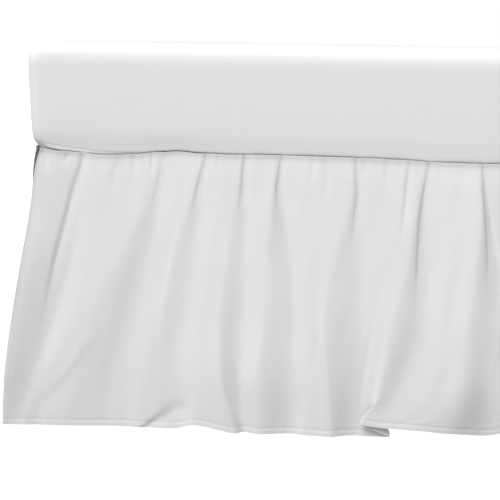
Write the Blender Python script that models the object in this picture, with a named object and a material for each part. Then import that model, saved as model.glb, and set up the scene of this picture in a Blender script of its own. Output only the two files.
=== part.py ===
"""A gathered bed skirt for a crib-size bed, with the mattress and the plain bed base that it hangs round.

Metres, +Z up. The bed's long side runs along X, the front faces -Y, and the legs stand on Z = 0.
Sizes are written in millimetres and turned into metres by MM.
"""
import math
import random

import bmesh
import bpy
from mathutils import Vector

MM = 0.001

# ---------------------------------------------------------------- driving sizes, in millimetres
SEAM_X = 652.0          # half length of the deck, where the end panels are sewn on
SEAM_Y = 342.0          # half width of the deck, where the front and back panels are sewn on
SEAM_Z = 329.2          # height of the seam
DROP = 326.5            # seam to hem
CLOTH = 1.2             # thickness of the cloth with its seam allowances
HEM = 7.0               # height of the turned hem
HEM_CLOTH = 2.2         # thickness where the hem is turned
FIT = 0.3               # gap kept between two pieces that touch

MATTRESS_X = 665.0      # half length at the fullest height
MATTRESS_Y = 350.0      # half width at the fullest height
MATTRESS_CORNER = 16.0  # radius of the corners seen from above
SIDE_PULL = 3.0         # how far each side is drawn in half way between its corners

BOARD_X = 645.0
BOARD_Y = 335.0
BOARD_Z = 328.0         # top of the board
BOARD = 12.0
LEG = 55.0
LEG_X = 580.0           # centre of a leg
LEG_Y = 270.0
RAIL = 20.0
RAIL_HIGH = 60.0

# ---------------------------------------------------------------- the folds of the front panel
# One row per ridge, valley or edge, from the left corner. `along` is the distance from that corner and
# `out` the distance from the seam's upright plane, each at six heights from the seam to the hem.
# `crease`, at the seam and at the hem, is 0 for a soft roll and 1 for a sharp line. `lap` is how far the line
# slides along where the hem doubles back over itself. `lift` is how far the hem rides up.
FOLDS = (
    # name,          along,                            out,                      crease,     lap, lift
    ("side_hem",     (-5, -8, -17, -27, -35, -39),     (6, 14, 24, 30, 33, 29),  (0.3, 0.3), 0, 0),
    ("valley_1",     (53, 49, 40, 23, 2, -16),         (1, 7, 12, 17, 23, 26),   (0.9, 0.0), 0, 0),
    ("ridge_1",      (93, 77, 67, 53, 28, 5),          (4, 9, 15, 20, 23, 23),   (0.3, 0.3), 0, 0),
    ("edge_2",       (131, 122, 96, 67, 35, 23),       (1, 11, 17, 20, 24, 23),  (0.2, 0.0), 0, 0),
    ("valley_2",     (155, 146, 131, 116, 101, 104),   (1, 8, 13, 15, 16, 16),   (0.4, 0.0), 0, 0),
    ("ridge_3",      (172, 165, 154, 142, 136, 124),   (1, 11, 16, 20, 21, 19),  (0.3, 0.1), 0, 0),
    ("edge_3",       (199, 179, 162, 153, 152, 143),   (3, 12, 18, 22, 22, 20),  (0.5, 0.4), 0, 0),
    ("valley_3",     (202, 194, 186, 174, 160, 166),   (3, 9, 16, 20, 22, 19),   (0.3, 0.0), 0, 0),
    ("hollow_3",     (221, 217, 209, 200, 202, 191),   (3, 12, 20, 25, 30, 29),  (0.3, 0.3), 0, 8),
    ("edge_4",       (242, 234, 227, 221, 224, 241),   (3, 12, 21, 28, 34, 33),  (0.5, 0.6), 0, 0),
    ("valley_4",     (246, 250, 247, 245, 245, 251),   (2, 8, 17, 21, 24, 22),   (0.6, 0.0), 0, 0),
    ("ridge_5",      (261, 257, 264, 265, 259, 263),   (5, 10, 19, 27, 32, 28),  (0.3, 0.2), 0, 0),
    ("edge_5",       (282, 275, 276, 272, 266, 271),   (3, 15, 20, 28, 34, 31),  (0.4, 0.4), 0, 0),
    ("valley_5",     (288, 293, 305, 307, 307, 306),   (2, 8, 15, 20, 25, 22),   (0.7, 0.0), 0, 0),
    ("ridge_6",      (329, 314, 324, 331, 333, 323),   (5, 13, 22, 28, 30, 28),  (0.0, 0.0), 0, 0),
    ("edge_6",       (373, 365, 350, 342, 349, 353),   (3, 14, 23, 31, 34, 32),  (0.2, 0.7), 0, 0),
    ("valley_6",     (377, 384, 382, 385, 381, 382),   (1, 9, 17, 22, 24, 20),   (0.5, 0.0), 0, 0),
    ("ridge_7",      (407, 399, 399, 396, 389, 390),   (3, 10, 18, 24, 23, 22),  (0.2, 0.2), 0, 0),
    ("tuck_7",       (434, 430, 422, 409, 401, 395),   (3, 13, 20, 26, 27, 23),  (0.6, 0.2), 27, 0),
    ("lap_7",        (448, 444, 437, 422, 411, 402),   (1, 13, 21, 28, 31, 31),  (0.3, 0.2), -14, 16),
    ("valley_8",     (460, 459, 462, 461, 441, 422),   (1, 7, 12, 20, 25, 27),   (0.0, 0.0), 0, 12),
    ("ridge_8",      (491, 488, 488, 486, 484, 456),   (5, 13, 21, 24, 27, 26),  (0.3, 0.3), 0, 10),
    ("edge_8",       (514, 519, 516, 509, 508, 490),   (4, 17, 25, 32, 32, 25),  (0.1, 0.2), 0, 7),
    ("valley_9",     (522, 533, 545, 546, 536, 537),   (3, 6, 11, 21, 25, 12),   (0.9, 0.0), 0, 3),
    ("ridge_9",      (547, 551, 555, 553, 552, 568),   (7, 12, 15, 19, 24, 25),  (0.0, 0.0), 0, 13),
)
HEIGHTS = (0.0, 0.2, 0.4, 0.6, 0.8, 1.0)
LAP_FROM = 0.88         # height where the lapped fold starts to turn over, as a share of the drop
LAP_TO = 0.99           # and where it lies fully over
LAP_PULL = 14.0         # how round its two turns are

# The other folds are plain loops. Each row: out at the six heights, as a valley and as a ridge.
LOOP_VALLEY = (2, 4, 7, 11, 15, 19)
LOOP_RIDGE = (6, 12, 18, 24, 28, 30)
LOOP_PITCH = 33.0       # ridge to valley, on average
LOOP_DRIFT = 9.0        # how far a fold wanders along the bed between seam and hem

# The end panels hang just inside the side hems of the long panels. `out` of their own side hems:
END_EDGE_OUT = (7.5, 8.6, 13, 23, 31, 34)
END_EDGE_ALONG = (4, 3, 1, -2, -7, -12)

# ---------------------------------------------------------------- helpers


def clear_scene():
    for obj in list(bpy.data.objects):
        bpy.data.objects.remove(obj, do_unlink=True)


def material(name, rgb, roughness):
    mat = bpy.data.materials.new(name)
    mat.use_nodes = True
    shader = mat.node_tree.nodes["Principled BSDF"]
    shader.inputs["Base Color"].default_value = (*rgb, 1.0)
    shader.inputs["Roughness"].default_value = roughness
    return mat


def add_body(name, verts, faces, mat, smooth=False):
    """A mesh object from points in millimetres."""
    mesh = bpy.data.meshes.new(name)
    mesh.from_pydata([Vector(p) * MM for p in verts], [], faces)
    mesh.materials.append(mat)
    bm = bmesh.new()
    bm.from_mesh(mesh)
    bmesh.ops.recalc_face_normals(bm, faces=bm.faces)
    bm.to_mesh(mesh)
    bm.free()
    for poly in mesh.polygons:
        poly.use_smooth = smooth
    obj = bpy.data.objects.new(name, mesh)
    bpy.context.scene.collection.objects.link(obj)
    return obj


def add_box(name, low, high, mat):
    """A box between two corners."""
    verts = [(x, y, z) for z in (low[2], high[2]) for y in (low[1], high[1]) for x in (low[0], high[0])]
    faces = [(0, 2, 3, 1), (4, 5, 7, 6), (0, 1, 5, 4), (2, 6, 7, 3), (0, 4, 6, 2), (1, 3, 7, 5)]
    return add_body(name, verts, faces, mat)


def smooth(t):
    t = max(0.0, min(1.0, t))
    return t * t * (3.0 - 2.0 * t)


def at_height(values, v):
    """A smooth curve through values given at HEIGHTS, read at v."""
    last = len(values) - 1
    i = min(int(v * last), last - 1)
    t = v * last - i
    a = values[i]
    b = values[i + 1]
    before = values[i - 1] if i > 0 else 2 * a - b
    after = values[i + 2] if i + 2 <= last else 2 * b - a
    slope_a = (b - before) / 2.0
    slope_b = (after - a) / 2.0
    return hermite(a, slope_a, b, slope_b, t)


def hermite(a, slope_a, b, slope_b, t):
    t2 = t * t
    t3 = t2 * t
    return (a * (2 * t3 - 3 * t2 + 1) + slope_a * (t3 - 2 * t2 + t)
            + b * (3 * t2 - 2 * t3) + slope_b * (t3 - t2))


# ---------------------------------------------------------------- cloth panels


def loop_folds(first, last, seed):
    """Plain loops between two distances from the corner, valley and ridge by turns, in the form of FOLDS."""
    rng = random.Random(seed)
    count = max(2, 2 * round((last - first) / LOOP_PITCH / 2.0))
    steps = [rng.uniform(0.7, 1.3) for _ in range(count + 1)]
    scale = (last - first) / sum(steps)
    folds = []
    place = first
    for i in range(count):
        place += steps[i] * scale
        drift = rng.uniform(-LOOP_DRIFT, LOOP_DRIFT)
        size = rng.uniform(0.85, 1.1)
        valley = i % 2 == 0
        outs = LOOP_VALLEY if valley else LOOP_RIDGE
        along = tuple(place + drift * v * v for v in HEIGHTS)
        out = tuple(o * size for o in outs)
        lift = rng.uniform(0.0, 6.0)
        folds.append((f"loop_{i}", along, out, (0.7, 0.2) if valley else (0.0, 0.0), 0, lift))
    return folds


def edge_fold(length, side, along, out):
    """The side hem of a panel: side is 0 at its start and 1 at its end."""
    if side == 0:
        places = tuple(along)
    else:
        places = tuple(length - a for a in along)
    return ("side_hem", places, tuple(out), (0.6, 0.6), 0, 0)


def state(fold, v):
    """A fold line at height v: its place, the way the cloth runs through it, how soft, and its lift."""
    _, along, out, crease, lap, lift = fold
    pinch = 0.8 + 0.2 * smooth(v / 0.08)
    place = Vector((at_height(along, v), max(1.0, at_height(out, v) * pinch)))
    turn = smooth((v - LAP_FROM) / (LAP_TO - LAP_FROM)) if lap else 0.0
    place.x += lap * turn
    angle = math.pi / 2.0 * turn
    way = Vector((math.cos(angle), math.sin(angle)))
    sharp = crease[0] + (crease[1] - crease[0]) * v
    return place, way, 1.0 - 0.85 * sharp, angle, lift * v ** 3


def cross_section(folds, v):
    """Points (along, out, lift) of a panel at height v, a few to each span between two fold lines."""
    points = []
    for a, b in zip(folds, folds[1:]):
        steps = span_steps(a, b)
        place_a, way_a, soft_a, angle_a, lift_a = state(a, v)
        place_b, way_b, soft_b, angle_b, lift_b = state(b, v)
        span = (place_b - place_a).length
        run = abs(place_b.x - place_a.x)
        pull_a = soft_a * (run if angle_a < 0.1 else min(span, LAP_PULL))
        pull_b = soft_b * (run if angle_b < 0.1 else min(span, LAP_PULL))
        for k in range(steps):
            t = k / steps
            along = hermite(place_a.x, way_a.x * pull_a, place_b.x, way_b.x * pull_b, t)
            out = hermite(place_a.y, way_a.y * pull_a, place_b.y, way_b.y * pull_b, t)
            points.append((along, out, lift_a + (lift_b - lift_a) * smooth(t)))
    place, _, _, _, lift = state(folds[-1], v)
    points.append((place.x, place.y, lift))
    return points


def span_steps(a, b):
    """How many facets lie between two fold lines: more in a wide span than in a narrow one."""
    if b[0].startswith("loop"):
        return 3
    wide = sum(q - p for p, q in zip(a[1], b[1])) / len(HEIGHTS)
    return 2 if wide < 12.0 else 4


def thicken(rows, thickness):
    """The two faces and the edges of a sheet whose middle surface is a grid of points."""
    high = len(rows)
    wide = len(rows[0])
    outer = []
    inner = []
    for j in range(high):
        for i in range(wide):
            here = rows[j][i]
            normal = Vector((0.0, 0.0, 0.0))
            sides = []
            for di, dj in ((1, 1), (-1, 1), (-1, -1), (1, -1)):
                if 0 <= i + di < wide and 0 <= j + dj < high:
                    across = (rows[j][i + di] - here) * di
                    down = (rows[j + dj][i] - here) * dj
                    side = down.cross(across).normalized()
                    sides.append(side)
                    normal += side
            normal.normalize()
            bend = sum(side.dot(normal) for side in sides) / len(sides)
            reach = thickness[j] / 2.0 / max(0.6, bend)
            outer.append(here + normal * reach)
            inner.append(here - normal * reach)
    verts = outer + inner
    back = high * wide
    faces = []
    for j in range(high - 1):
        for i in range(wide - 1):
            a = j * wide + i
            faces.append((a, a + wide, a + wide + 1, a + 1))
            faces.append((back + a, back + a + 1, back + a + wide + 1, back + a + wide))
    for i in range(wide - 1):
        top = i
        low = (high - 1) * wide + i
        faces.append((top, top + 1, back + top + 1, back + top))
        faces.append((low, back + low, back + low + 1, low + 1))
    for j in range(high - 1):
        left = j * wide
        right = left + wide - 1
        faces.append((left, back + left, back + left + wide, left + wide))
        faces.append((right, right + wide, back + right + wide, back + right))
    return verts, faces


def add_panel(name, corner, along_axis, folds, heights, mat):
    """A gathered panel that hangs from one side of the deck, sewn on from `corner` along along_axis."""
    along_axis = Vector(along_axis)
    out_axis = along_axis.cross(Vector((0.0, 0.0, 1.0)))
    corner = Vector((*corner, SEAM_Z))
    rows = []
    thickness = []
    for v in heights:
        row = []
        for along, out, lift in cross_section(folds, v):
            row.append(corner + along_axis * along + out_axis * out + Vector((0.0, 0.0, lift - DROP * v)))
        rows.append(row)
        thickness.append(HEM_CLOTH if v > 1.0 - (HEM + 0.1) / DROP else CLOTH)
    verts, faces = thicken(rows, thickness)
    return add_body(name, verts, faces, mat, smooth=True)


def panel_heights(middle):
    """Heights of the rows of a panel, with two close rows where the hem begins."""
    hem = 1.0 - HEM / DROP
    return (0.0, 0.07) + middle + (hem - 0.004, hem, 1.0)


# ---------------------------------------------------------------- mattress and base

MATTRESS_RINGS = (
    # drawn in from the fullest outline, height above the mattress's underside
    (20.0, 0.0),
    (12.0, 1.4),
    (8.4, 3.6),
    (6.6, 7.0),
    (5.0, 12.5),
    (3.7, 20.0),
    (2.6, 32.0),
    (1.6, 52.0),
    (0.6, 80.0),
    (0.0, 104.0),
    (0.8, 112.0),
    (3.2, 118.0),
    (8.0, 122.5),
    (15.0, 125.5),
    (26.0, 127.6),
    (48.0, 129.4),
    (100.0, 131.0),
    (170.0, 131.8),
    (235.0, 132.0),
)


def mattress_outline(inset):
    """One ring of the mattress seen from above: straight sides a little drawn in, and round corners."""
    radius = max(8.0, MATTRESS_CORNER - inset * 0.1)
    half_x = MATTRESS_X - inset
    half_y = MATTRESS_Y - inset
    ring = []
    for quarter, (sx, sy) in enumerate(((1, 1), (-1, 1), (-1, -1), (1, -1))):
        centre = Vector((sx * (half_x - radius), sy * (half_y - radius)))
        for k in range(6):
            angle = math.pi / 2.0 * (quarter + k / 5.0)
            ring.append(centre + Vector((math.cos(angle), math.sin(angle))) * radius)
        along_x = quarter % 2 == 0
        reach = (half_x if along_x else half_y) - radius
        count = 7 if along_x else 4
        for k in range(1, count):
            t = k / count
            pull = SIDE_PULL * math.sin(math.pi * t)
            if along_x:
                ring.append(Vector((sx * reach * (1.0 - 2.0 * t), sy * (half_y - pull))))
            else:
                ring.append(Vector((sx * (half_x - pull), sy * reach * (1.0 - 2.0 * t))))
    return ring


def add_mattress(mat):
    base = BOARD_Z + FIT + CLOTH + FIT
    verts = []
    faces = []
    for inset, rise in MATTRESS_RINGS:
        verts += [(p.x, p.y, base + rise) for p in mattress_outline(inset)]
    count = len(verts) // len(MATTRESS_RINGS)
    for ring in range(len(MATTRESS_RINGS) - 1):
        for i in range(count):
            a = ring * count + i
            b = ring * count + (i + 1) % count
            faces.append((a, b, b + count, a + count))
    faces.append(tuple(reversed(range(count))))
    faces.append(tuple(range(len(verts) - count, len(verts))))
    return add_body("mattress", verts, faces, mat, smooth=True)


def add_base(mat):
    """A board on four rails and four legs."""
    under = BOARD_Z - BOARD - FIT
    add_box("platform_board", (-BOARD_X, -BOARD_Y, BOARD_Z - BOARD), (BOARD_X, BOARD_Y, BOARD_Z), mat)
    half = LEG / 2.0
    corners = (("front_left", -1, -1), ("front_right", 1, -1), ("back_left", -1, 1), ("back_right", 1, 1))
    for name, sx, sy in corners:
        low = (sx * LEG_X - half, sy * LEG_Y - half, 0.0)
        high = (sx * LEG_X + half, sy * LEG_Y + half, under)
        add_box("leg_" + name, low, high, mat)
    reach_x = LEG_X - half - FIT
    reach_y = LEG_Y - half - FIT
    for name, sy in (("front", -1), ("back", 1)):
        low = (-reach_x, sy * LEG_Y - RAIL / 2.0, under - RAIL_HIGH)
        high = (reach_x, sy * LEG_Y + RAIL / 2.0, under)
        add_box("rail_" + name, low, high, mat)
    for name, sx in (("left", -1), ("right", 1)):
        low = (sx * LEG_X - RAIL / 2.0, -reach_y, under - RAIL_HIGH)
        high = (sx * LEG_X + RAIL / 2.0, reach_y, under)
        add_box("rail_" + name, low, high, mat)


# ---------------------------------------------------------------- build


def main():
    clear_scene()
    percale = material("white_percale", (0.78, 0.78, 0.78), 0.9)
    sheet = material("white_sheet", (0.8, 0.8, 0.8), 0.9)
    wood = material("plain_pine", (0.62, 0.46, 0.28), 0.6)

    long_side = 2.0 * SEAM_X
    short_side = 2.0 * SEAM_Y
    hem_along = FOLDS[0][1]
    hem_out = FOLDS[0][2]

    last_placed = FOLDS[-1][1][0]
    front = list(FOLDS) + loop_folds(last_placed, long_side - 14.0, seed=3)
    front.append(edge_fold(long_side, 1, hem_along, hem_out))
    back = [edge_fold(long_side, 0, hem_along, hem_out)] + loop_folds(14.0, long_side - 14.0, seed=11)
    back.append(edge_fold(long_side, 1, hem_along, hem_out))

    fine = panel_heights((0.2, 0.34, 0.48, 0.62, 0.76, 0.84, 0.91))
    plain = panel_heights((0.3, 0.56, 0.8))
    add_panel("ruffle_front", (-SEAM_X, -SEAM_Y), (1, 0, 0), front, fine, percale)
    add_panel("ruffle_back", (SEAM_X, SEAM_Y), (-1, 0, 0), back, plain, percale)
    ends = (
        ("ruffle_right", (SEAM_X, -SEAM_Y), (0, 1, 0), 5),
        ("ruffle_left", (-SEAM_X, SEAM_Y), (0, -1, 0), 8),
    )
    for name, corner, way, seed in ends:
        folds = [edge_fold(short_side, 0, END_EDGE_ALONG, END_EDGE_OUT)]
        folds += loop_folds(18.0, short_side - 18.0, seed)
        folds.append(edge_fold(short_side, 1, END_EDGE_ALONG, END_EDGE_OUT))
        add_panel(name, corner, way, folds, plain, percale)

    reach_x = SEAM_X - 2.0 * FIT
    reach_y = SEAM_Y - 2.0 * FIT
    deck_z = BOARD_Z + FIT
    add_box("deck", (-reach_x, -reach_y, deck_z), (reach_x, reach_y, deck_z + CLOTH), percale)
    add_mattress(sheet)
    add_base(wood)


main()
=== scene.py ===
# %% [markdown]
# A gathered bed skirt hangs from a flat deck of cloth that lies under the mattress. Four ruffles are sewn to
# the deck's edges, one to a side, and the corners are split so that each ruffle has its own side hems.
# This script loads the fixed solid model, then makes the cloth again with its real thinness, its fine
# gathers, its hems and its weave. Lengths in the tables are in millimetres and MM turns them into metres.

# %% Load the fixed model
import math
import random

import bpy
import numpy as np
from mathutils import Matrix, Vector


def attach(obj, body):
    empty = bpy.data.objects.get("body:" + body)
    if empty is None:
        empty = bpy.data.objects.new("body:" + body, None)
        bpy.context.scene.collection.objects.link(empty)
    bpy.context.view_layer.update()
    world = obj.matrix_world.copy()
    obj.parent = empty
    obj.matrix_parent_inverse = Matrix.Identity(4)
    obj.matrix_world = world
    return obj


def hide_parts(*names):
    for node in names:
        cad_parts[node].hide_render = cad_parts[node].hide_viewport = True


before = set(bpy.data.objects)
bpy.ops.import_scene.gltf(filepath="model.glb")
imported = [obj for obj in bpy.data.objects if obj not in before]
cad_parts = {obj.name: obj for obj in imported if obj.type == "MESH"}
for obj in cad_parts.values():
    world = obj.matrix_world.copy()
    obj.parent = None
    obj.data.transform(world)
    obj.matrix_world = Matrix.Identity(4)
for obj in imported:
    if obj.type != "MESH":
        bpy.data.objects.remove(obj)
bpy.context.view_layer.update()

MM = 0.001

# %% [markdown]
# Colours are written as the hex values that a picture editor shows. Blender's shaders work in linear light,
# so one function turns them over. Another small one adds a shader node with its settings and its links, so
# that each material below reads as a short list. The others start a material, make a ramp of two colours and
# put an object in the scene.

# %% Helpers for colours, nodes and objects


def linear(hex_code, alpha=1.0):
    parts = [int(hex_code[i:i + 2], 16) / 255.0 for i in (1, 3, 5)]
    values = [c / 12.92 if c <= 0.04045 else ((c + 0.055) / 1.055) ** 2.4 for c in parts]
    return (*values, alpha)


def add_node(tree, kind, links=None, **settings):
    """A shader node: settings are its properties or, by name, its sockets' values; links feed its sockets."""
    node = tree.nodes.new(kind)
    for key, value in settings.items():
        if hasattr(node, key):
            setattr(node, key, value)
        else:
            node.inputs[key.replace("_", " ")].default_value = value
    for key, source in (links or {}).items():
        tree.links.new(source, node.inputs[key])
    return node


def new_material(name, **settings):
    """A material with one principled shader, which takes the settings."""
    material = bpy.data.materials.new(name)
    material.use_nodes = True
    tree = material.node_tree
    tree.nodes.clear()
    shader = add_node(tree, "ShaderNodeBsdfPrincipled", **settings)
    add_node(tree, "ShaderNodeOutputMaterial", {"Surface": shader.outputs["BSDF"]})
    return material, tree, shader


def two_tones(tree, factor, dark, light, start=0.0, end=1.0):
    """A colour that goes from dark to light as the factor goes from start to end."""
    ramp = add_node(tree, "ShaderNodeValToRGB", {"Fac": factor})
    for stop, colour, place in zip(ramp.color_ramp.elements, (dark, light), (start, end)):
        stop.color = colour
        stop.position = place
    return ramp.outputs["Color"]


def new_object(name, data):
    made = bpy.data.objects.new(name, data)
    bpy.context.scene.collection.objects.link(made)
    return made


print("mid grey, #808080, is", round(linear("#808080")[0], 3), "in linear light")

# %% [markdown]
# Percale is a plain weave of fine combed cotton, about 40 threads to the centimetre, which gives a flat,
# crisp, matte cloth. A thread every 0.25 mm is too fine to show from across a room, so the weave is drawn
# with a thread every 0.9 mm and kept faint. Bleached white cotton is nearly neutral. Slubs, where a thread is
# thicker, run down the cloth, and it keeps a soft crumple from the wash. The pattern reads the cloth's own UV
# map in metres, so it follows every fold.

# %% White percale cotton
WEAVE_MM = 0.9
WAVE_RATE = 20.0        # the radians that a wave texture of scale 1 turns through over each metre
SLUB_MM = 3.5
SLUB_STRETCH = 0.35     # slubs and crumple are longer down the cloth than across it
SLUB_SHADE = 0.975
CRUMPLE_MM = 24.0
CRUMPLE_DEPTH = 0.0012
THREAD_DEPTH = 0.0002


def percale(name, hex_code, crumple=0.25):
    """Matte woven cotton. `crumple` is how much of the wash's creasing shows."""
    material, tree, shader = new_material(name, Roughness=0.92, IOR=1.46, Specular_IOR_Level=0.25,
                                          Sheen_Weight=0.08, Sheen_Roughness=0.6)
    place = add_node(tree, "ShaderNodeUVMap", uv_map="cloth").outputs["UV"]
    threads = {}
    for i, direction in enumerate(("X", "Y")):
        wave = add_node(tree, "ShaderNodeTexWave", {"Vector": place}, bands_direction=direction,
                        Scale=1.0 / (WEAVE_MM * MM) / WAVE_RATE * 2.0 * math.pi, Distortion=0.6, Detail=1.0)
        threads[i] = wave.outputs["Fac"]
    weave = add_node(tree, "ShaderNodeMath", threads, operation="MAXIMUM")
    stretch = add_node(tree, "ShaderNodeMapping", {"Vector": place}, Scale=(1.0, SLUB_STRETCH, 1.0))
    slub = add_node(tree, "ShaderNodeTexNoise", {"Vector": stretch.outputs["Vector"]},
                    Scale=1.0 / (SLUB_MM * MM), Detail=2.0)
    wash = add_node(tree, "ShaderNodeTexNoise", {"Vector": stretch.outputs["Vector"]},
                    Scale=1.0 / (CRUMPLE_MM * MM), Detail=3.0, Roughness=0.55)
    white = linear(hex_code)
    shaded = [c * SLUB_SHADE for c in white[:3]] + [1.0]
    soft = add_node(tree, "ShaderNodeBump", {"Height": wash.outputs["Fac"]},
                    Strength=crumple, Distance=CRUMPLE_DEPTH)
    fine = add_node(tree, "ShaderNodeBump",
                    {"Height": weave.outputs["Value"], "Normal": soft.outputs["Normal"]},
                    Strength=0.12, Distance=THREAD_DEPTH)
    tree.links.new(two_tones(tree, slub.outputs["Fac"], shaded, white), shader.inputs["Base Color"])
    tree.links.new(fine.outputs["Normal"], shader.inputs["Normal"])
    return material


skirt_percale = percale("bleached_cotton_percale", "#DADADA")
sheet_percale = percale("fitted_sheet_cotton_percale", "#E5E5E5", crumple=0.10)
print("cloth materials:", skirt_percale.name, sheet_percale.name)

# %% [markdown]
# The ruffle's folds are set down as lines that run from the seam to the hem: ridges, valleys and the edges
# where a fold breaks over. For each one the table gives how far along the bed it lies, and how far out from
# the seam, at six heights. Both models have nearly the same folds: all the rows but five are the solid
# model's own, and those five are a few millimetres off it or less sharp. A table was chosen over a simulation
# because a simulated ruffle falls into folds of its own.

# %% Sizes and fold table
SEAM_X = 652.0
SEAM_Y = 342.0
SEAM_Z = 329.2
DROP = 326.5
HEM = 7.0
HEIGHTS = (0.0, 0.2, 0.4, 0.6, 0.8, 1.0)
FOLDS = (
    # name,          along,                            out,                      crease,     lap, lift
    ("side_hem",     (-5, -8, -17, -27, -35, -39),     (6, 14, 24, 30, 33, 29),  (0.3, 0.3), 0, 0),
    ("valley_1",     (53, 49, 40, 23, 2, -16),         (1, 7, 12, 17, 23, 26),   (0.9, 0.0), 0, 0),
    ("ridge_1",      (93, 77, 67, 50, 22, 1),          (4, 9, 15, 20, 23, 23),   (0.3, 0.1), 0, 0),
    ("edge_2",       (131, 122, 96, 69, 40, 26),       (1, 11, 17, 20, 23.5, 23),  (0.2, 0.0), 0, 0),
    ("valley_2",     (155, 146, 131, 116, 101, 104),   (1, 8, 13, 15, 16, 16),   (0.4, 0.0), 0, 0),
    ("ridge_3",      (172, 165, 154, 142, 136, 124),   (1, 11, 16, 20, 21, 19),  (0.3, 0.1), 0, 0),
    ("edge_3",       (199, 179, 162, 153, 152, 143),   (3, 12, 18, 22, 22, 20),  (0.1, 0.1), 0, 0),
    ("valley_3",     (202, 194, 186, 174, 160, 166),   (3, 9, 16, 20, 22, 19),   (0.3, 0.0), 0, 0),
    ("hollow_3",     (221, 217, 209, 200, 202, 191),   (3, 12, 20, 25, 30, 29),  (0.3, 0.3), 0, 8),
    ("edge_4",       (242, 234, 227, 221, 224, 241),   (3, 12, 21, 28, 34, 33),  (0.5, 0.6), 0, 0),
    ("valley_4",     (246, 250, 247, 245, 245, 251),   (2, 8, 17, 21, 24, 22),   (0.6, 0.0), 0, 0),
    ("ridge_5",      (261, 257, 264, 265, 259, 263),   (5, 10, 19, 27, 32, 28),  (0.3, 0.2), 0, 0),
    ("edge_5",       (282, 275, 276, 272, 266, 271),   (3, 15, 20, 28, 34, 31),  (0.4, 0.4), 0, 0),
    ("valley_5",     (288, 293, 305, 307, 307, 306),   (2, 8, 15, 20, 25, 22),   (0.7, 0.0), 0, 0),
    ("ridge_6",      (329, 314, 324, 331, 333, 323),   (5, 13, 22, 28, 30, 28),  (0.0, 0.0), 0, 0),
    ("edge_6",       (373, 365, 350, 342, 349, 353),   (3, 14, 23, 31, 34, 32),  (0.2, 0.7), 0, 0),
    ("valley_6",     (377, 384, 382, 385, 381, 382),   (1, 9, 17, 22, 24, 20),   (0.5, 0.0), 0, 0),
    ("ridge_7",      (407, 399, 399, 396, 389, 390),   (3, 10, 18, 24, 23, 22),  (0.2, 0.2), 0, 0),
    ("tuck_7",       (434, 430, 422, 409, 401, 395),   (3, 13, 20, 26, 27, 23),  (0.6, 0.2), 27, 0),
    ("lap_7",        (448, 444, 437, 422, 411, 402),   (1, 13, 21, 28, 31, 31),  (0.3, 0.2), -14, 16),
    ("valley_8",     (460, 459, 462, 461, 441, 422),   (1, 7, 12, 20, 25, 30),   (0.0, 0.0), 0, 12),
    ("ridge_8",      (491, 488, 488, 486, 484, 456),   (5, 13, 21, 24, 27, 28),  (0.3, 0.3), 0, 10),
    ("edge_8",       (514, 519, 516, 509, 508, 490),   (4, 17, 25, 32, 32, 25),  (0.1, 0.2), 0, 7),
    ("valley_9",     (522, 533, 545, 546, 536, 537),   (3, 6, 11, 21, 25, 12),   (0.9, 0.0), 0, 3),
    ("ridge_9",      (547, 551, 555, 553, 552, 568),   (7, 12, 15, 19, 24, 25),  (0.0, 0.0), 0, 13),
)
LAP_FROM = 0.88         # the share of the drop at which a lapped hem starts to double back
LAP_TO = 0.99
LAP_PULL = 5.0          # how far its two hairpin turns swing out
LOOP_VALLEY = (2, 4, 7, 11, 15, 19)
LOOP_RIDGE = (6, 12, 18, 24, 28, 30)
LOOP_PITCH = 33.0
LOOP_DRIFT = 9.0
LOOP_WIDTHS = (0.7, 1.3)
LOOP_SIZES = (0.85, 1.1)
LOOP_LIFT = 6.0
LOOP_VALLEY_CREASE = (0.7, 0.2)
LOOP_RIDGE_CREASE = (0.0, 0.0)
EDGE_CREASE = (0.6, 0.6)
END_EDGE_OUT = (7, 8.6, 13, 23, 31, 34)
END_EDGE_ALONG = (4, 3, 1, -2, -7, -12)
LONG_MARGIN = 14.0      # how far from a corner the loops start, on the long and on the short sides
SHORT_MARGIN = 18.0
print(len(FOLDS), "fold lines in the table")

# %% [markdown]
# Between two fold lines the cloth follows a smooth curve whose steepness at each end says how sharp the
# crease is. The same curve, run down the cloth, joins the six heights. Where a hem doubles back over itself,
# the curve leaves the fold line outward instead of along the bed, which makes the two hairpin turns.
# Neighbouring columns are then evened out a little, except at those turns, since real cloth is too stiff for
# a sharp line.

# %% Curves between the fold lines
SEAM_PINCH = 0.8        # the share of a fold's depth that is left where the stitching holds it
PINCH_OPENS = 0.2       # how much comes back below it, and over what share of the drop
PINCH_DROP = 0.08
CREASE_GRIP = 0.85      # how much the sharpest crease takes off a curve's softness
HARDLY_TURNED = 0.1
LAP_HOLD = 2.0          # how soon a turning hem is left out of the evening
LOOP_STEP = 1.7
FEWEST_COLUMNS = 4


def smooth(t):
    t = np.clip(t, 0.0, 1.0)
    return t * t * (3.0 - 2.0 * t)


def hermite(a, slope_a, b, slope_b, t):
    t2 = t * t
    t3 = t2 * t
    return (a * (2 * t3 - 3 * t2 + 1) + slope_a * (t3 - 2 * t2 + t)
            + b * (3 * t2 - 2 * t3) + slope_b * (t3 - t2))


def at_height(values, v):
    """A smooth curve through values given at HEIGHTS, read at each height in v."""
    values = np.array(values, float)
    last = len(values) - 1
    padded = np.concatenate(([2 * values[0] - values[1]], values, [2 * values[-1] - values[-2]]))
    i = np.minimum((v * last).astype(int), last - 1)
    before, a, b, after = (padded[i + k] for k in range(4))
    return hermite(a, (b - before) / 2.0, b, (after - a) / 2.0, v * last - i)


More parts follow.
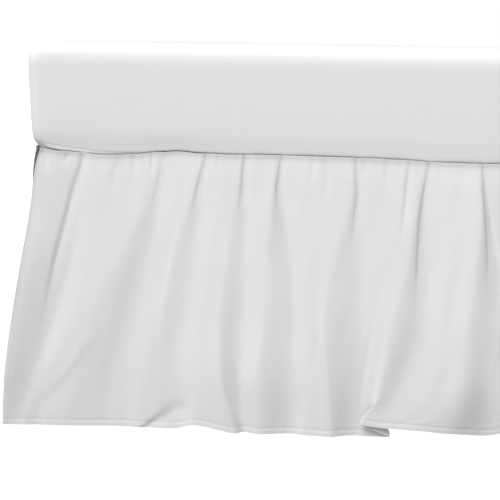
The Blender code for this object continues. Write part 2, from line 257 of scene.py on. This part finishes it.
def fold_state(fold, v):
    """A fold line at heights v: place along and out, the way through it, how soft, and its lift."""
    _, along, out, crease, lap, lift = fold
    pinch = SEAM_PINCH + PINCH_OPENS * smooth(v / PINCH_DROP)
    turn = smooth((v - LAP_FROM) / (LAP_TO - LAP_FROM)) if lap else 0.0 * v
    angle = math.pi / 2.0 * turn
    soft = 1.0 - CREASE_GRIP * (crease[0] + (crease[1] - crease[0]) * v)
    return (at_height(along, v) + lap * turn, np.maximum(1.0, at_height(out, v) * pinch),
            np.cos(angle), np.sin(angle), soft, angle, lift * v ** 3)


def panel_columns(folds, v, step):
    """Along, out, lift and looseness for each row height in v and each column, `step` apart or wider."""
    columns = []
    for a, b in zip(folds, folds[1:]):
        along_a, out_a, cos_a, sin_a, soft_a, angle_a, lift_a = fold_state(a, v)
        along_b, out_b, cos_b, sin_b, soft_b, angle_b, lift_b = fold_state(b, v)
        run = np.abs(along_b - along_a)
        span = np.hypot(along_b - along_a, out_b - out_a)
        pull_a = soft_a * np.where(angle_a < HARDLY_TURNED, run, np.minimum(span, LAP_PULL))
        pull_b = soft_b * np.where(angle_b < HARDLY_TURNED, run, np.minimum(span, LAP_PULL))
        width = step * LOOP_STEP if b[0].startswith("loop") else step
        count = max(FEWEST_COLUMNS, round(float(np.mean(span)) / width))
        for k in range(count):
            t = k / count
            along = hermite(along_a, cos_a * pull_a, along_b, cos_b * pull_b, t)
            out = hermite(out_a, sin_a * pull_a, out_b, sin_b * pull_b, t)
            loose = np.clip(1.0 - LAP_HOLD * (angle_a * (1.0 - t) + angle_b * t), 0.0, 1.0)
            columns.append((along, out, lift_a + (lift_b - lift_a) * smooth(t), loose))
    along, out, _, _, _, _, lift = fold_state(folds[-1], v)
    columns.append((along, out, lift, np.ones_like(along)))
    return [np.array(part).T for part in zip(*columns)]


def soften(grid, loose, passes):
    """Move each column halfway to the middle of its neighbours, as far as it is loose."""
    for _ in range(passes):
        beside = (grid[:, :-2] + grid[:, 2:]) / 2.0
        grid[:, 1:-1] += (beside - grid[:, 1:-1]) / 2.0 * loose[:, 1:-1]
    return grid


print("curves between fold lines, read at", len(HEIGHTS), "heights")

# %% [markdown]
# Past the lines of the table, and along the back and the ends, the cloth hangs in plain loops, valley and
# ridge by turns. Their widths, sizes and drifts are drawn from a seeded generator, so they are uneven as in
# real gathers, yet the same each time. Each panel starts and ends with its own side hem.

# %% Loops and side hems


def loop_folds(first, last, seed):
    """Plain loops between two distances from the corner, valley and ridge by turns."""
    rng = random.Random(seed)
    count = max(2, 2 * round((last - first) / LOOP_PITCH / 2.0))
    steps = [rng.uniform(*LOOP_WIDTHS) for _ in range(count + 1)]
    scale = (last - first) / sum(steps)
    folds = []
    place = first
    for i in range(count):
        place += steps[i] * scale
        drift = rng.uniform(-LOOP_DRIFT, LOOP_DRIFT)
        size = rng.uniform(*LOOP_SIZES)
        valley = i % 2 == 0
        along = tuple(place + drift * v * v for v in HEIGHTS)
        out = tuple(o * size for o in (LOOP_VALLEY if valley else LOOP_RIDGE))
        crease = LOOP_VALLEY_CREASE if valley else LOOP_RIDGE_CREASE
        lift = rng.uniform(0.0, LOOP_LIFT)
        folds.append((f"loop_{i}", along, out, crease, 0, lift))
    return folds


def side_hems(length, along, out):
    """The fold lines of a panel's two side hems, the second one the mirror image of the first."""
    near = ("side_hem", tuple(along), tuple(out), EDGE_CREASE, 0, 0)
    far = ("side_hem", tuple(length - a for a in along), tuple(out), EDGE_CREASE, 0, 0)
    return near, far


def end_folds(seed):
    near, far = side_hems(short_side, END_EDGE_ALONG, END_EDGE_OUT)
    return [near] + loop_folds(SHORT_MARGIN, short_side - SHORT_MARGIN, seed) + [far]


long_side = 2.0 * SEAM_X
short_side = 2.0 * SEAM_Y
hem_near, hem_far = side_hems(long_side, FOLDS[0][1], FOLDS[0][2])
last_along = FOLDS[-1][1][0]
front_folds = list(FOLDS) + loop_folds(last_along, long_side - LONG_MARGIN, seed=3) + [hem_far]
back_folds = [hem_near] + loop_folds(LONG_MARGIN, long_side - LONG_MARGIN, seed=11) + [hem_far]
print(len(front_folds), "fold lines in the front ruffle,", len(back_folds), "in the back one")

# %% [markdown]
# Gathering leaves short puckers that run down from the seam and die out, and a fold that is trodden or caught
# leaves a pinched crease near the hem. Each row of this table is one of them: a line on the front ruffle,
# from place to place, that the cloth dips along. One side of it is steep and the other gentle, as in real
# cloth.

# %% Puckers and pinched creases
CREASES = (
    # points as (along, down from the seam),                                depth, width
    (((54, 0), (51, 16), (42, 45), (34, 80), (25, 116), (16, 160), (8, 215)),   2.5, 7.0),
    (((4, 0), (7, 12), (8, 30)),                                                1.1, 4.0),
    (((38, 0), (32, 8), (25, 16)),                                              1.0, 5.0),
    (((95, 4), (91, 20), (86, 48)),                                             0.9, 8.0),
    (((115, 0), (115, 30)),                                                     1.1, 3.5),
    (((136, 0), (135, 30)),                                                     0.9, 3.5),
    (((148, 8), (142, 43), (134, 80)),                                          0.8, 8.0),
    (((200, 0), (197, 12), (190, 41), (184, 80)),                               1.6, 7.0),
    (((245, 0), (244, 11), (243, 40), (241, 75)),                               1.9, 7.0),
    (((289, 0), (287, 10), (284, 39), (287, 74)),                               1.6, 7.0),
    (((324, 0), (324, 34)),                                                     1.1, 3.5),
    (((341, 0), (341, 56)),                                                     1.2, 4.5),
    (((374, 0), (374, 8), (378, 37), (375, 71), (371, 120)),                    1.3, 6.0),
    (((384, 0), (384, 30)),                                                     0.8, 3.5),
    (((409, 0), (410, 19), (415, 34)),                                          1.2, 4.0),
    (((436, 0), (434, 35), (432, 64), (430, 100)),                              1.8, 5.0),
    (((460, 0), (459, 6), (455, 35), (451, 70), (450, 104), (450, 140), (447, 190)),  2.0, 7.0),
    (((522, 0), (522, 5), (524, 33), (527, 67), (530, 102), (531, 165)),        2.2, 8.0),
    (((172, 297), (158, 307), (144, 317), (130, 328), (106, 345)),              2.2, 11.0),
    (((64, 232), (48, 257), (31, 279), (8, 299), (-10, 312)),                   0.9, 14.0),
    (((227, 262), (234, 285), (249, 318)),                                      1.2, 6.0),
)
CREASE_START = 0.55     # a crease's depth where it starts, and how it deepens along its way
CREASE_DEEPENS = 1.8
CREASE_FULL_FROM = 0.25
CREASE_DIES_OVER = 0.5
STEEP_SIDE = 0.3        # how wide the steep side is against the gentle one
NARROWEST = 2.3
FAR_AWAY = 1e9


def crease_depth(along, down):
    """How far the cloth dips at each point of the front ruffle, in millimetres."""
    total = np.zeros_like(along)
    for points, depth, width in CREASES:
        lengths = [math.dist(a, b) for a, b in zip(points, points[1:])]
        whole = sum(lengths)
        done = 0.0
        best = np.full(along.shape, FAR_AWAY)
        dip = np.zeros_like(along)
        for (a, b), length in zip(zip(points, points[1:]), lengths):
            way = np.array([b[0] - a[0], b[1] - a[1]]) / length
            rel_x = along - a[0]
            rel_y = down - a[1]
            t = np.clip(rel_x * way[0] + rel_y * way[1], 0.0, length)
            off_x = rel_x - t * way[0]
            off_y = rel_y - t * way[1]
            gap = np.hypot(off_x, off_y)
            right = off_x * way[1] - off_y * way[0] > 0.0
            share = (done + t) / whole
            strength = np.where(share < CREASE_FULL_FROM, CREASE_START + CREASE_DEEPENS * share, 1.0)
            strength = strength * smooth((1.0 - share) / CREASE_DIES_OVER)
            strength = np.where(share <= 0.0, CREASE_START, strength)
            reach = np.where(right, width, max(NARROWEST, width * STEEP_SIDE))
            here = depth * strength * np.exp(-(gap / reach) ** 2)
            dip = np.where(gap < best, here, dip)
            best = np.minimum(best, gap)
            done += length
        total += dip
    return total


print(len(CREASES), "puckers and creases")

# %% [markdown]
# The seam isn't straight: it rides up and down by a few millimetres, and gapes a little in two places. The
# cloth ripples between the stitches at the seam and at the hem, and lies slack in longer waves between them.
# Each of those is a bump, a fade or a ripple with its own height and reach, in millimetres.

# %% The seam and the small waves of the cloth
SEAM_WAVE = (
    # along the front seam, how far it rides up
    (-40, 3.6), (0, 3.4), (8, 3.0), (27, 0.2), (50, -1.1), (75, -3.2), (95, -2.9), (113, -1.4), (145, 1.9),
    (166, 3.4), (195, 1.2), (228, 0.3), (264, 0.8), (310, 0.6), (356, 0.0), (391, -0.4), (425, -1.4),
    (471, -3.6), (522, -4.0), (570, -3.0), (660, 0.0), (760, 1.5), (900, -0.5), (1060, 1.0), (1200, 0.0),
    (1280, 2.0), (1304, 4.0),
)
SEAM_OPEN = (
    # where the seam gapes a little under the mattress: along, half width, how far the cloth sinks
    (12, 9, 0.9), (163, 32, 1.0), (183, 9, 0.7),
)
SEAM_WAVE_REACH = 28.0  # how far down the cloth follows the seam's rise
SEAM_RIDGE = (0.5, 2.5)     # the stitched edge stands up: height, reach down
GATHERS = (0.6, 6, 6.0, 17.0)       # height, number of waves, shortest and longest wave
GATHERS_REACH = 15.0
HEM_RIPPLES = (0.30, 5, 6.0, 17.0)
HEM_RIPPLES_REACH = 11.0
SLACK_WAVES = (0.45, 6, 26.0, 70.0)
SLACK_SLANT = 0.1
SLACK_FROM = 60.0       # the slack waves have their full height from here down
FULL_TURN = 6.28
SEAM_ROLL = (1.0, 3.2)      # the cloth rolls out under the seam: height, reach
HEM_GROOVE = (0.06, 0.8)    # the thread's groove at the bottom hem: depth, half width
SIDE_GROOVE = (0.16, 1.2)
SIDE_CURL = (0.9, 1.8)      # a side hem's edge curls out, down to a certain drop
SIDE_CURL_TO = 230.0
SIDE_CURL_EASE = 80.0
CORNER_TUCK = (8.5, 25.0)   # the panel's ends are drawn in at the seam: how far, reach down
CORNER_PINCH = (1.5, 3.0)
CORNER_REACH = 12.0
LEFT_CORNER_REACH = 36.0    # the left panel's front corner rides up, and in a little, at the seam
LEFT_CORNER_RISE = 6.0
LEFT_CORNER_DROP = 22.0
LEFT_CORNER_IN = 1.5
LEFT_CORNER_IN_DROP = 8.0


def row_heights(middle):
    """Distances down from the seam, in millimetres, from 0 to DROP."""
    top = [0, 1, 2.2, 3.6, 5.2, 7, 9, 11.5, 14.5, 18, 22, 26.5, 32, 38, 45]
    hem = [0, 1, 2.2, 3.6, 5, 6, 6.6, 7.2, 7.8, 8.6, 10, 12.5, 16, 20.5]
    count = round((DROP - hem[-1] - top[-1]) / middle)
    body = [top[-1] + (DROP - hem[-1] - top[-1]) * k / count for k in range(1, count)]
    return np.array(top + body + [DROP - h for h in reversed(hem)])


def seam_rise(along):
    """How far the front seam rides up or down from the straight line."""
    places, rises = zip(*SEAM_WAVE)
    at = np.asarray(along, float)
    i = np.clip(np.searchsorted(places, at) - 1, 0, len(places) - 2)
    places = np.array(places, float)
    rises = np.array(rises, float)
    t = smooth((at - places[i]) / (places[i + 1] - places[i]))
    return rises[i] + (rises[i + 1] - rises[i]) * t


def ripple(s, seed, height, waves, shortest, longest):
    """A gentle irregular wave along s, at most as high as `height`."""
    rng = random.Random(seed)
    total = np.zeros_like(s)
    for _ in range(waves):
        length = rng.uniform(shortest, longest)
        total += np.sin(s * 2.0 * math.pi / length + rng.uniform(0.0, FULL_TURN)) * rng.uniform(0.5, 1.0)
    return height * (total / waves)


def bump(distance, height, reach):
    """A round bump, highest where the distance is 0 and almost gone at twice its reach."""
    return height * np.exp(-(distance / reach) ** 2)


def fade(distance, height, reach):
    """Highest where the distance is 0, then quickly less."""
    return height * np.exp(-distance / reach)


seam_rises = [rise for _, rise in SEAM_WAVE]
print("the seam rides between", min(seam_rises), "and", max(seam_rises), "mm")

# %% [markdown]
# A sheet of cloth is a grid of points with its UV map in metres. Solidify gives it its two faces, thicker in
# the hems, where the cloth is turned up twice.

# %% From a grid of points to a sheet of cloth
CLOTH_MM = 0.9
HEM_CLOTH_MM = 1.0
HEM_EASE = 0.3          # how far short of its stitching the thick part of a hem ends
SIDE_HEM_EASE = 0.6
SHARP_DEGREES = 55.0


def grid_normals(points):
    across = np.gradient(points, axis=1)
    down = np.gradient(points, axis=0)
    normal = np.cross(down, across)
    return normal / np.maximum(np.linalg.norm(normal, axis=2, keepdims=True), 1e-12)


def sheet_object(name, points, uv, weights, material, thick_mm):
    """A mesh grid with its UV map in metres, given thickness by Solidify."""
    rows, columns = points.shape[:2]
    index = np.arange(rows * columns).reshape(rows, columns)
    quads = np.stack([index[:-1, :-1], index[1:, :-1], index[1:, 1:], index[:-1, 1:]], axis=-1)
    quads = quads.reshape(-1, 4)
    mesh = bpy.data.meshes.new(name)
    mesh.from_pydata((points.reshape(-1, 3) * MM).tolist(), [], quads.tolist())
    layer = mesh.uv_layers.new(name="cloth")
    layer.data.foreach_set("uv", uv.reshape(-1, 2)[quads.reshape(-1)].astype(np.float32).reshape(-1))
    mesh.materials.append(material)
    mesh.shade_smooth()
    piece = new_object(name, mesh)
    group = piece.vertex_groups.new(name="thickness")
    for value in np.unique(weights):
        group.add(index[weights == value].reshape(-1).tolist(), float(value), "REPLACE")
    solidify = piece.modifiers.new("thickness", "SOLIDIFY")
    solidify.thickness = thick_mm * MM
    solidify.offset = 0.0
    solidify.vertex_group = "thickness"
    solidify.use_even_offset = True
    solidify.thickness_clamp = 1.0
    bpy.ops.object.select_all(action="DESELECT")
    bpy.context.view_layer.objects.active = piece
    piece.select_set(True)
    bpy.ops.object.modifier_apply(modifier=solidify.name)
    piece.vertex_groups.clear()
    piece.data.set_sharp_from_angle(angle=math.radians(SHARP_DEGREES))
    return piece


print("cloth", CLOTH_MM, "mm thick, hems", HEM_CLOTH_MM, "mm")

# %% [markdown]
# A ruffle's rows run from the seam to the hem, close together at both, and its columns follow the folds. It
# could be draped by simulation, but then no fold would fall where it should. The small waves push the cloth
# along its own normals. The front panel also gets its puckers, and its seam rides up and down.

# %% Build the ruffles
UP = np.array([0.0, 0.0, 1.0])
PASSES_FRONT = 10
PASSES_PLAIN = 3
RUFFLES = (
    # piece, node, corner, way along, fold lines, width of a column, height of a row, seed
    ("skirt_front", "ruffle_front", (-SEAM_X, -SEAM_Y), (1, 0, 0), front_folds, 1.7, 6.5, 21),
    ("skirt_back", "ruffle_back", (SEAM_X, SEAM_Y), (-1, 0, 0), back_folds, 3.4, 8.0, 31),
    ("skirt_right", "ruffle_right", (SEAM_X, -SEAM_Y), (0, 1, 0), end_folds(5), 3.2, 8.0, 41),
    ("skirt_left", "ruffle_left", (-SEAM_X, SEAM_Y), (0, -1, 0), end_folds(8), 3.2, 8.0, 51),
)


def small_waves(run, drop, from_side, from_hem, seed):
    """How far the cloth stands off its folds: gathers, hem ripples, slack, grooves and curled edges."""
    push = ripple(run, seed, *GATHERS) * bump(drop, 1.0, GATHERS_REACH)
    push += bump(drop, *SEAM_ROLL)
    push += ripple(run, seed + 1, *HEM_RIPPLES) * bump(from_hem, 1.0, HEM_RIPPLES_REACH)
    push += ripple(run + SLACK_SLANT * drop, seed + 2, *SLACK_WAVES) * smooth(drop / SLACK_FROM)
    push -= bump(from_hem - HEM, *HEM_GROOVE)
    push -= bump(from_side - HEM, *SIDE_GROOVE)
    push += bump(from_side, *SIDE_CURL) * smooth((SIDE_CURL_TO - drop) / SIDE_CURL_EASE)
    return push


def front_seam(along, drop):
    """How far the front panel's points rise with the seam, less where it gapes."""
    sunk = sum(bump(along - place, depth, half) for place, half, depth in SEAM_OPEN)
    ridge, ridge_reach = SEAM_RIDGE
    return (seam_rise(along) * bump(drop, 1.0, SEAM_WAVE_REACH)
            + (ridge - sunk) * bump(drop, 1.0, ridge_reach))


def ruffle(name, corner, along_axis, folds, step, middle, seed):
    """One gathered panel, and the width of cloth that went into it, in metres."""
    front = name == "skirt_front"
    down = row_heights(middle)
    *grids, loose = panel_columns(folds, down / DROP, step)
    passes = PASSES_FRONT if front else PASSES_PLAIN
    along, out, lift = (soften(grid, loose, passes) for grid in grids)
    along_axis = np.array(along_axis, float)
    out_axis = np.cross(along_axis, UP)
    drop = np.broadcast_to(down[:, None], along.shape)
    base = np.array([corner[0], corner[1], SEAM_Z])
    points = (base + along[..., None] * along_axis + out[..., None] * out_axis
              + (lift - drop)[..., None] * UP)
    steps = np.linalg.norm(np.diff(points, axis=1), axis=2)
    run = np.concatenate([np.zeros((len(down), 1)), np.cumsum(steps, axis=1)], axis=1)
    to_end = run[:, -1:] - run
    from_side = np.minimum(run, to_end)
    from_hem = DROP - drop
    push = small_waves(run, drop, from_side, from_hem, seed)
    if front:
        push -= crease_depth(along, drop - lift)
    points = points + grid_normals(points) * push[..., None]
    turned_in = (fade(drop, *CORNER_TUCK) + fade(drop, *CORNER_PINCH)) * fade(from_side, 1.0, CORNER_REACH)
    points += np.where(run < run[:, -1:] / 2.0, turned_in, -turned_in)[..., None] * along_axis
    if front:
        points[..., 2] += front_seam(along, drop)
    if name == "skirt_left":
        points[..., 2] += (bump(to_end, LEFT_CORNER_RISE, LEFT_CORNER_REACH)
                           * bump(drop, 1.0, LEFT_CORNER_DROP))
        points[..., 0] += (bump(to_end, LEFT_CORNER_IN, LEFT_CORNER_REACH)
                           * fade(drop, 1.0, LEFT_CORNER_IN_DROP))
    in_hem = (from_hem < HEM - HEM_EASE) | (from_side < HEM - SIDE_HEM_EASE)
    weights = np.where(in_hem, 1.0, CLOTH_MM / HEM_CLOTH_MM)
    uv = np.stack([run, from_hem], axis=-1) * MM
    piece = sheet_object(name, points, uv, weights, skirt_percale, HEM_CLOTH_MM)
    width = float(run[-1].max()) * MM
    print(f"{name}: {points.shape[0]} rows, {points.shape[1]} columns, {width:.2f} m of cloth along the hem")
    return piece, width


for name, node, corner, way, folds, step, middle, seed in RUFFLES:
    piece, width = ruffle(name, corner, way, folds, step, middle, seed)
    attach(piece, "root")
    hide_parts(node)

# %% [markdown]
# The deck is the flat cloth that carries the ruffles and lies on the bed's board. It is one sheet of the same
# percale. The mattress hides it but for its rim, which follows the waves of the front seam, so a plain grid
# with a very slight slackness is enough.

# %% Deck
DECK_MM = 0.8
DECK_REACH_X = 651.2
DECK_REACH_Y = 341.2
DECK_Z = 328.6
DECK_COLUMNS = 221
DECK_ROWS = 60
RIM_ROWS = 12
RIM_TO = -330.0         # the closely spaced rows of the front rim end here, and the others start a little on
BODY_FROM = -325.0
RIM_RISES_FROM = 335.6  # how far forward the rim starts to follow the seam, and over what distance
RIM_RISES_OVER = 5.4
DECK_SLACK = (0.12, 5, 60.0, 190.0)
DECK_SLACK_SLANT = 0.4
DECK_SLACK_TO = 320.0
DECK_SLACK_EASE = 40.0


def make_deck():
    x = np.linspace(-DECK_REACH_X, DECK_REACH_X, DECK_COLUMNS)
    y = np.concatenate([np.linspace(-DECK_REACH_Y, RIM_TO, RIM_ROWS),
                        np.linspace(BODY_FROM, DECK_REACH_Y, DECK_ROWS)])
    grid_x, grid_y = np.meshgrid(x, y[::-1])
    slack = ripple(grid_x + DECK_SLACK_SLANT * grid_y, 61, *DECK_SLACK)
    slack = slack * smooth((DECK_SLACK_TO - np.abs(grid_y)) / DECK_SLACK_EASE)
    rim = smooth((-grid_y - RIM_RISES_FROM) / RIM_RISES_OVER) * seam_rise(grid_x + SEAM_X)
    points = np.stack([grid_x, grid_y, DECK_Z + slack + rim], axis=-1)
    uv = points[..., :2] * MM
    return sheet_object("deck_cloth", points, uv, np.ones(grid_x.shape), skirt_percale, DECK_MM)


deck_cloth = make_deck()
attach(deck_cloth, "root")
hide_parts("deck")
print("deck cloth:", len(deck_cloth.data.polygons), "faces")

# %% [markdown]
# The mattress is a filled pad in a fitted sheet. Its sides lean out a little towards the top, draw in between
# the corners, and roll under where its weight presses it on the deck. It could be inflated from a box with
# cloth pressure, but a stack of rounded outlines gives the same tight shape and keeps the solid's size. Along
# the front its foot follows the seam, and is drawn in a little more towards the left, where the sheet's
# elastic edge peeps out.

# %% Mattress in its fitted sheet
MATTRESS_X = 665.0
MATTRESS_Y = 350.0
MATTRESS_CORNER = 16.0
MATTRESS_FOOT = 329.5
SIDE_PULL = 3.0
RINGS = (
    # drawn in at the ends, drawn in at the long sides, height above the mattress's underside
    (15.0, 7.0, 0.0), (13.6, 5.9, 0.6), (12.4, 5.3, 1.8), (10.4, 4.9, 3.8), (7.2, 4.5, 6.5),
    (5.6, 4.2, 9.2), (4.4, 3.8, 12.2), (3.7, 3.4, 16.0), (3.1, 2.9, 21.0), (2.6, 2.5, 28.0),
    (2.1, 2.0, 37.0), (1.4, 1.5, 50.0), (0.8, 0.9, 67.0), (0.3, 0.35, 86.0), (0.0, 0.0, 103.0),
    (0.6, 0.6, 110.5), (2.0, 2.0, 115.6), (4.6, 4.6, 119.8), (8.4, 8.4, 123.0), (14.0, 14.0, 125.6),
    (24.0, 24.0, 127.7), (42.0, 42.0, 129.3), (72.0, 72.0, 130.4), (115.0, 115.0, 131.2),
    (170.0, 170.0, 131.8), (235.0, 235.0, 132.0),
)
RINGS_BETWEEN = 3
SMALLEST_CORNER = 8.0
CORNER_SHRINKS = 0.1
CORNER_STEPS = 12
LONG_STEPS = 120
SHORT_STEPS = 44
FRONT_FACE = 320.0      # points further forward than this belong to the front face
SEAM_FOLLOW_FROM = 325.0
SEAM_FOLLOW_OVER = 10.0
SEAM_FOLLOW_RISE = 16.0
SHEET_EDGE = (0.4, 1.2)     # the line of the elastic edge: depth, half width
SHEET_EDGE_LENGTH = 125.0
SHEET_EDGE_LOW = 1.0
SHEET_EDGE_CLIMB = 6.0
OUT_OF_SIGHT = -20.0
FOOT_TUCK = 1.6         # how much more the foot is drawn in at the left, and where that ends
FOOT_TUCK_TO = 360.0
FOOT_TUCK_OVER = 330.0
FOOT_TUCK_RISE = 17.0
UV_SKEW = 0.35


def ring_curve():
    """The rows of RINGS with smooth rows put in between."""
    rows = np.array(RINGS)
    padded = np.concatenate(([2 * rows[0] - rows[1]], rows, [2 * rows[-1] - rows[-2]]))
    curve = []
    for i in range(len(rows) - 1):
        before, a, b, after = padded[i:i + 4]
        for k in range(RINGS_BETWEEN):
            curve.append(hermite(a, (b - before) / 2.0, b, (after - a) / 2.0, k / RINGS_BETWEEN))
    curve.append(rows[-1])
    return np.array(curve)


def mattress_ring(end_inset, side_inset):
    """One outline of the mattress, drawn in by the insets and a little more between the corners."""
    radius = max(SMALLEST_CORNER, MATTRESS_CORNER - side_inset * CORNER_SHRINKS)
    half_x = MATTRESS_X - end_inset
    half_y = MATTRESS_Y - side_inset
    ring = []
    for quarter, (sx, sy) in enumerate(((1, 1), (-1, 1), (-1, -1), (1, -1))):
        for k in range(CORNER_STEPS + 1):
            angle = math.pi / 2.0 * (quarter + k / CORNER_STEPS)
            ring.append((sx * (half_x - radius) + math.cos(angle) * radius,
                         sy * (half_y - radius) + math.sin(angle) * radius))
        along_x = quarter % 2 == 0
        reach = (half_x if along_x else half_y) - radius
        count = LONG_STEPS if along_x else SHORT_STEPS
        for k in range(1, count):
            t = k / count
            pull = SIDE_PULL * math.sin(math.pi * t)
            if along_x:
                ring.append((sx * reach * (1.0 - 2.0 * t), sy * (half_y - pull)))
            else:
                ring.append((sx * (half_x - pull), sy * reach * (1.0 - 2.0 * t)))
    return ring


def sheet_edge(x):
    """Height of the fitted sheet's elastic edge, which peeps out along the foot of the front left corner."""
    t = (x + MATTRESS_X) / SHEET_EDGE_LENGTH
    return SHEET_EDGE_LOW + SHEET_EDGE_CLIMB * (1.0 - t) if t < 1.0 else OUT_OF_SIGHT


def front_foot(x, y, rise):
    """How far a point of the mattress is drawn in and lifted, where it faces the front."""
    follow = smooth((-y - SEAM_FOLLOW_FROM) / SEAM_FOLLOW_OVER) * bump(rise, 1.0, SEAM_FOLLOW_RISE)
    tuck = 0.0
    if y < -FRONT_FACE:
        tuck = bump(rise - sheet_edge(x), *SHEET_EDGE)
        tuck += (FOOT_TUCK * smooth((FOOT_TUCK_TO - (x + MATTRESS_X)) / FOOT_TUCK_OVER)
                 * bump(rise, 1.0, FOOT_TUCK_RISE))
    return tuck, follow * float(seam_rise(x + SEAM_X))


def make_mattress():
    curve = ring_curve()
    verts = []
    for end_inset, side_inset, rise in curve:
        for x, y in mattress_ring(end_inset, side_inset):
            tuck, lift = front_foot(x, y, rise)
            verts.append((x, y + tuck, MATTRESS_FOOT + rise + lift))
    count = len(verts) // len(curve)
    faces = []
    for ring in range(len(curve) - 1):
        for i in range(count):
            a = ring * count + i
            b = ring * count + (i + 1) % count
            faces.append((a, b, b + count, a + count))
    faces.append(tuple(reversed(range(count))))
    faces.append(tuple(range(len(verts) - count, len(verts))))
    mesh = bpy.data.meshes.new("mattress_in_sheet")
    mesh.from_pydata([Vector(p) * MM for p in verts], [], faces)
    layer = mesh.uv_layers.new(name="cloth")
    for loop in mesh.loops:
        co = mesh.vertices[loop.vertex_index].co
        layer.data[loop.index].uv = (co.x + co.y, co.z + UV_SKEW * (co.y - co.x))
    mesh.materials.append(sheet_percale)
    mesh.shade_smooth()
    return new_object("mattress_in_sheet", mesh)


mattress = make_mattress()
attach(mattress, "root")
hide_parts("mattress")
print("mattress faces:", len(mattress.data.polygons))

# %% [markdown]
# The base under the skirt is plain planed pine: a board on four rails and four legs. The cloth hides it, so
# its solids keep their shape and only get their wood, whose grain is drawn out along the bed.

# %% Pine base
GRAIN_STRETCH = (0.25, 6.0, 6.0)
GRAIN_DEPTH = 0.0005


def pine(name):
    material, tree, shader = new_material(name, Roughness=0.55)
    place = add_node(tree, "ShaderNodeTexCoord").outputs["Object"]
    along = add_node(tree, "ShaderNodeMapping", {"Vector": place}, Scale=GRAIN_STRETCH)
    grain = add_node(tree, "ShaderNodeTexNoise", {"Vector": along.outputs["Vector"]}, Scale=9.0, Detail=5.0)
    tint = two_tones(tree, grain.outputs["Fac"], linear("#AC9474"), linear("#CBB798"), start=0.35, end=0.65)
    rough = add_node(tree, "ShaderNodeBump", {"Height": grain.outputs["Fac"]},
                     Strength=0.2, Distance=GRAIN_DEPTH)
    tree.links.new(tint, shader.inputs["Base Color"])
    tree.links.new(rough.outputs["Normal"], shader.inputs["Normal"])
    return material


pine_wood = pine("planed_pine")
wooden = [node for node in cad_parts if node.startswith(("leg_", "rail_", "platform"))]
for node in wooden:
    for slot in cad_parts[node].material_slots:
        slot.material = pine_wood
print("pine pieces:", len(wooden))

# %% [markdown]
# The floor is plain white and glows a little, like a lit table. The glow is for the eye alone: diffuse rays
# pass the floor by, so it doesn't light the cloth from below.

# %% Floor
FLOOR_M = 30.0
FLOOR_GLOW = 0.9

bpy.ops.object.select_all(action="DESELECT")
bpy.ops.mesh.primitive_circle_add(vertices=96, radius=FLOOR_M / 2.0, fill_type="NGON",
                                  location=(0.0, 0.0, 0.0))
floor = bpy.context.object
floor.name = "floor"
floor_paint, _, _ = new_material("pale_floor", Base_Color=linear("#FFFFFF"), Roughness=0.9,
                                 Specular_IOR_Level=0.0, Emission_Color=linear("#FFFFFF"),
                                 Emission_Strength=FLOOR_GLOW)
floor.data.materials.append(floor_paint)
floor.visible_diffuse = False
print("floor:", FLOOR_M, "m across")

# %% [markdown]
# One wide soft key light high on the front left and an even white surround keep the white cloth bright while
# each fold still turns from light to grey. The surround is drawn brighter where the camera sees it than where
# it lights the cloth, as a lit studio backdrop would be.

# %% Lights
KEY_AZIMUTH = math.radians(-28.0)
KEY_ELEVATION = math.radians(54.0)
KEY_SPREAD = math.radians(35.0)
KEY_STRENGTH = 3.0
SURROUND = 0.47
BACKDROP = 1.0


def way_to(azimuth, elevation):
    """The direction from the bed to something at this azimuth, from straight in front, and elevation."""
    return Vector((math.sin(azimuth) * math.cos(elevation), -math.cos(azimuth) * math.cos(elevation),
                   math.sin(elevation)))


key_data = bpy.data.lights.new("key", "SUN")
key_data.energy = KEY_STRENGTH
key_data.angle = KEY_SPREAD
key = new_object("key", key_data)
key.rotation_euler = way_to(KEY_AZIMUTH, KEY_ELEVATION).to_track_quat("Z", "Y").to_euler()

world = bpy.data.worlds.new("studio")
bpy.context.scene.world = world
world.use_nodes = True
surround = world.node_tree.nodes["Background"]
surround.inputs["Color"].default_value = (1.0, 1.0, 1.0, 1.0)
seen = add_node(world.node_tree, "ShaderNodeLightPath")
level = add_node(world.node_tree, "ShaderNodeMapRange", {"Value": seen.outputs["Is Camera Ray"]},
                 To_Min=SURROUND, To_Max=BACKDROP)
world.node_tree.links.new(level.outputs["Result"], surround.inputs["Strength"])
bpy.context.scene.view_settings.view_transform = "Standard"
print("key light", KEY_STRENGTH, "and surround", SURROUND)

# %% [markdown]
# The camera stands in front of the left half of the bed, just below the height of the mattress's top. It
# looks slightly down, along a line that isn't square to the front, and is tilted by one degree.

# %% Camera
CAMERA_PLACE = (-0.28509, -1.97586, 0.44769)
CAMERA_AZIMUTH = math.radians(4.0)
CAMERA_ELEVATION = math.radians(8.0)
CAMERA_ROLL = math.radians(1.0)
LENS_MM = 100.8
SENSOR_MM = 36.0

camera_data = bpy.data.cameras.new("camera")
camera_data.lens = LENS_MM
camera_data.sensor_width = SENSOR_MM
camera = new_object("camera", camera_data)
camera.location = CAMERA_PLACE
look = (-way_to(CAMERA_AZIMUTH, CAMERA_ELEVATION)).to_track_quat("-Z", "Y").to_matrix().to_4x4()
camera.matrix_world = Matrix.Translation(CAMERA_PLACE) @ look @ Matrix.Rotation(CAMERA_ROLL, 4, "Z")
bpy.context.scene.camera = camera
print("camera at", CAMERA_PLACE)
